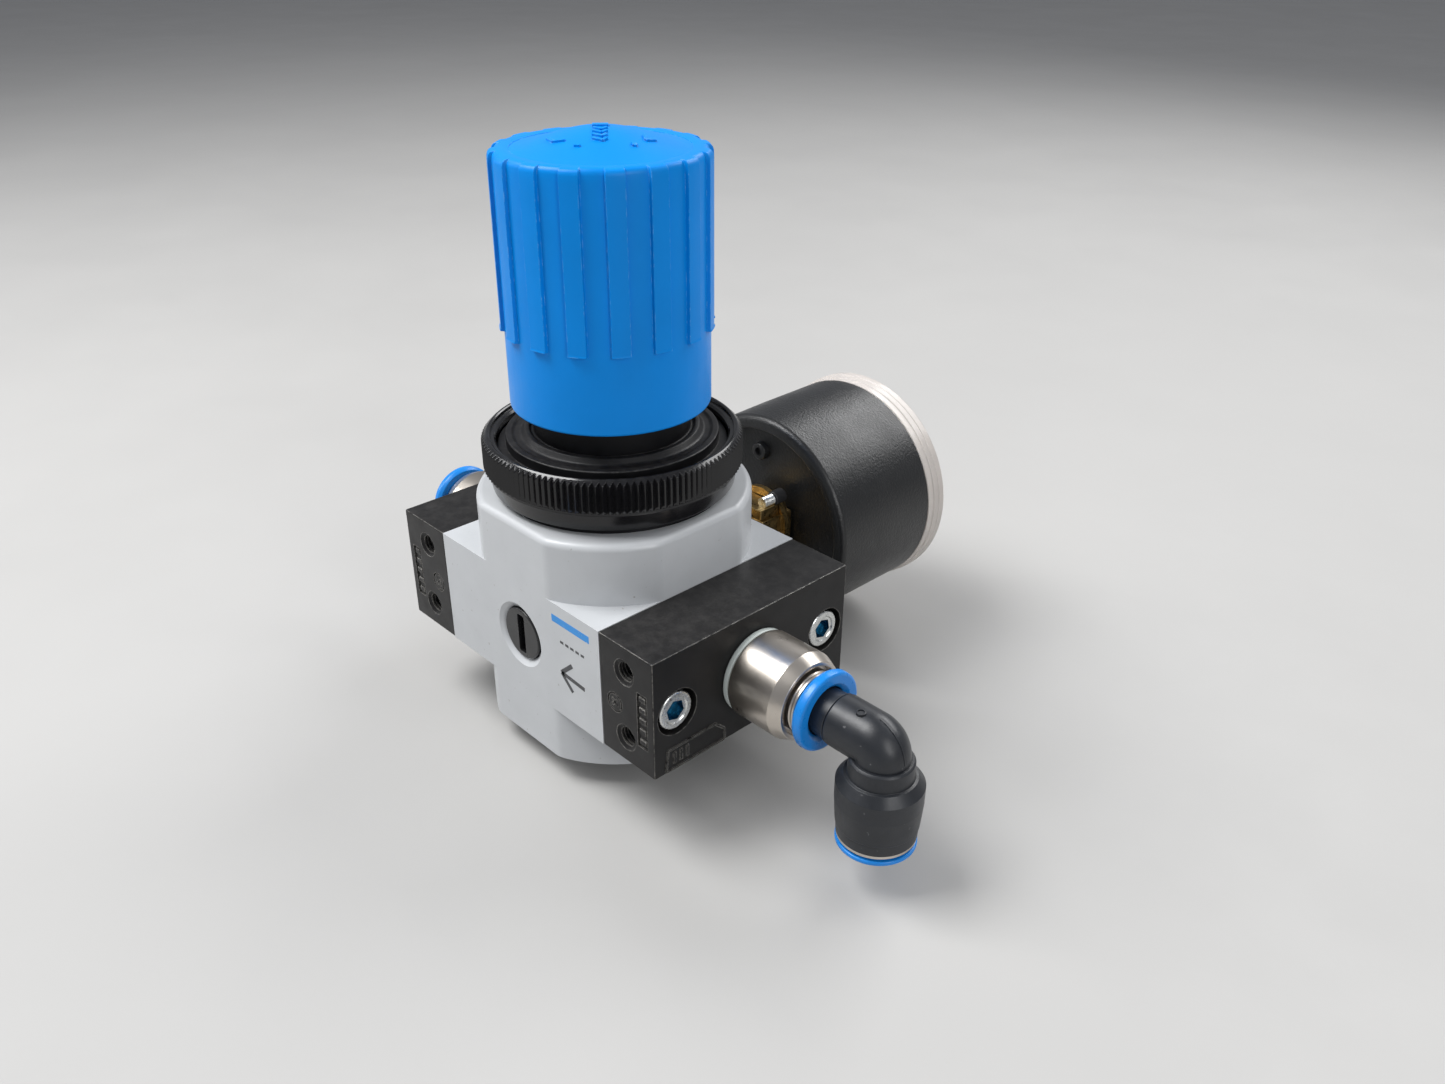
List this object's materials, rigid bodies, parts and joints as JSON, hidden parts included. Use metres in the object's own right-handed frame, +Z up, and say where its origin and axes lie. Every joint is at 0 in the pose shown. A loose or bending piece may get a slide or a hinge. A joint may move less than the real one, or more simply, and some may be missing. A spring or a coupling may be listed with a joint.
{
  "type": "air pressure regulator",
  "caption": "Metal air pressure regulator with a ribbed lift-to-adjust knob, panel ring nut, port plates, rear pressure gauge and push-in tube fittings with an elbow.",
  "frame": {"origin": "centre of the bottom cap's underside, on the knob axis", "axes": "+Z up the knob axis, +X from the knob axis to the elbow along the port line, -Y out of the face with the slotted port plug, +Y to the gauge"},
  "size_m": [0.1503, 0.1121, 0.1343],
  "materials": {
    "body_paint": "light silver-grey powder coat, satin",
    "plate_coating": "black coated die casting, satin",
    "zinc_steel": "zinc-plated steel",
    "seal_rubber": "black rubber",
    "plug_black": "black, smooth",
    "black_plastic": "moulded black plastic",
    "bonnet_black": "satin black moulding",
    "white_plastic": "off-white plastic",
    "inner_brass": "turned brass",
    "spring_steel": "drawn spring steel",
    "spring_aluminium": "plain aluminium",
    "nickel_brass": "nickel-plated brass, satin",
    "gauge_brass": "dull brass",
    "gauge_case_black": "black grained coating",
    "clear_window": "clear moulded window",
    "dial_white": "white printed plate",
    "nut_black": "gloss black moulding",
    "knob_blue": "satin blue moulding",
    "elbow_black": "satin black moulding",
    "release_blue": "blue moulding",
    "pointer_black": "matt black paint"
  },
  "bodies": {
    "housing": {"main_body": "body_paint", "right_port_plate": "plate_coating", "left_port_plate": "plate_coating", "port_plate_screws": "zinc_steel", "port_plate_seals": "seal_rubber", "front_port_plug": "plug_black", "front_plug_seal": "seal_rubber", "bottom_cap": "black_plastic", "bottom_cap_seal": "seal_rubber", "bonnet": "bonnet_black", "thrust_washer": "white_plastic", "valve_seat": "inner_brass", "diaphragm": "seal_rubber", "valve_spring": "spring_steel", "main_spring": "spring_steel", "right_fitting_body": "nickel_brass", "left_fitting_body": "nickel_brass", "fitting_washers": "white_plastic", "tube_grab_rings": "spring_steel", "tube_seals": "seal_rubber", "gauge_socket": "gauge_brass", "gauge_case": "gauge_case_black", "gauge_window": "clear_window", "gauge_dial": "dial_white", "bourdon_tube": "inner_brass", "movement_frame": "inner_brass", "gauge_case_screws": "zinc_steel"},
    "ring_nut": {"panel_ring_nut": "nut_black"},
    "spindle": {"adjusting_spindle": "inner_brass"},
    "knob": {"adjusting_knob": "knob_blue", "knob_cap": "knob_blue"},
    "spring_nut": {"spring_nut": "zinc_steel"},
    "diaphragm_stack": {"spring_plate": "spring_aluminium", "lower_plate": "inner_brass"},
    "valve": {"valve_plunger": "inner_brass", "valve_disc": "seal_rubber"},
    "elbow": {"elbow_body": "elbow_black", "elbow_end_ring": "nickel_brass", "elbow_grab_ring": "spring_steel", "elbow_tube_seal": "seal_rubber"},
    "left_release": {"left_release_ring": "release_blue"},
    "right_release": {"right_release_ring": "release_blue"},
    "elbow_release": {"elbow_release_ring": "release_blue"},
    "pointer": {"gauge_pointer": "pointer_black", "pointer_pinion": "inner_brass"},
    "sector": {"sector_gear": "inner_brass"}
  },
  "joints": [
    {"name": "spindle_turn", "type": "hinge", "parent": "housing", "child": "spindle", "pos_m": [0, 0, 0.1], "axis": [0, 0, 1], "range_deg": [-1822, 23]},
    {"name": "knob_lift", "type": "slide", "parent": "spindle", "child": "knob", "axis": [0, 0, 1], "range_m": [-0.003, 0]},
    {"name": "spring_nut_travel", "type": "slide", "parent": "housing", "child": "spring_nut", "axis": [0, 0, 1], "range_m": [-0.0075, 0], "deforming": ["main_spring"]},
    {"name": "diaphragm_travel", "type": "slide", "parent": "housing", "child": "diaphragm_stack", "axis": [0, 0, 1], "range_m": [-0.0015, 0], "stiffness_N_per_m": 2000, "springref_m": 0.001, "deforming": ["diaphragm"]},
    {"name": "valve_travel", "type": "slide", "parent": "housing", "child": "valve", "axis": [0, 0, 1], "range_m": [-0.00155, 0.00005], "deforming": ["valve_spring"]},
    {"name": "ring_nut_turn", "type": "hinge", "parent": "housing", "child": "ring_nut", "pos_m": [0, 0, 0.067], "axis": [0, 0, 1], "continuous": true},
    {"name": "elbow_swivel", "type": "hinge", "parent": "housing", "child": "elbow", "pos_m": [0.064, 0, 0.0325], "axis": [1, 0, 0], "continuous": true},
    {"name": "left_release_push", "type": "slide", "parent": "housing", "child": "left_release", "axis": [1, 0, 0], "range_m": [0, 0.0012], "stiffness_N_per_m": 300, "springref_m": -0.001},
    {"name": "right_release_push", "type": "slide", "parent": "housing", "child": "right_release", "axis": [-1, 0, 0], "range_m": [0, 0.0012], "stiffness_N_per_m": 300, "springref_m": -0.001},
    {"name": "elbow_release_push", "type": "slide", "parent": "elbow", "child": "elbow_release", "axis": [0, 0, 1], "range_m": [0, 0.0005], "stiffness_N_per_m": 300, "springref_m": -0.001},
    {"name": "pointer_turn", "type": "hinge", "parent": "housing", "child": "pointer", "pos_m": [0, 0.076, 0.0342], "axis": [0, -1, 0], "range_deg": [0, 270], "stiffness_Nm_per_rad": 0.0002, "springref_deg": -28.65},
    {"name": "sector_turn", "type": "hinge", "parent": "housing", "child": "sector", "pos_m": [0, 0.066, 0.01785], "axis": [0, -1, 0], "range_deg": [-34, 0.1]}
  ],
  "couplings": [
    {"joint": "spindle_turn", "follows": "spring_nut_travel", "rad_per_m": 4188.8},
    {"joint": "valve_travel", "follows": "diaphragm_travel", "ratio": 1},
    {"joint": "sector_turn", "follows": "pointer_turn", "ratio": -0.125}
  ]
}
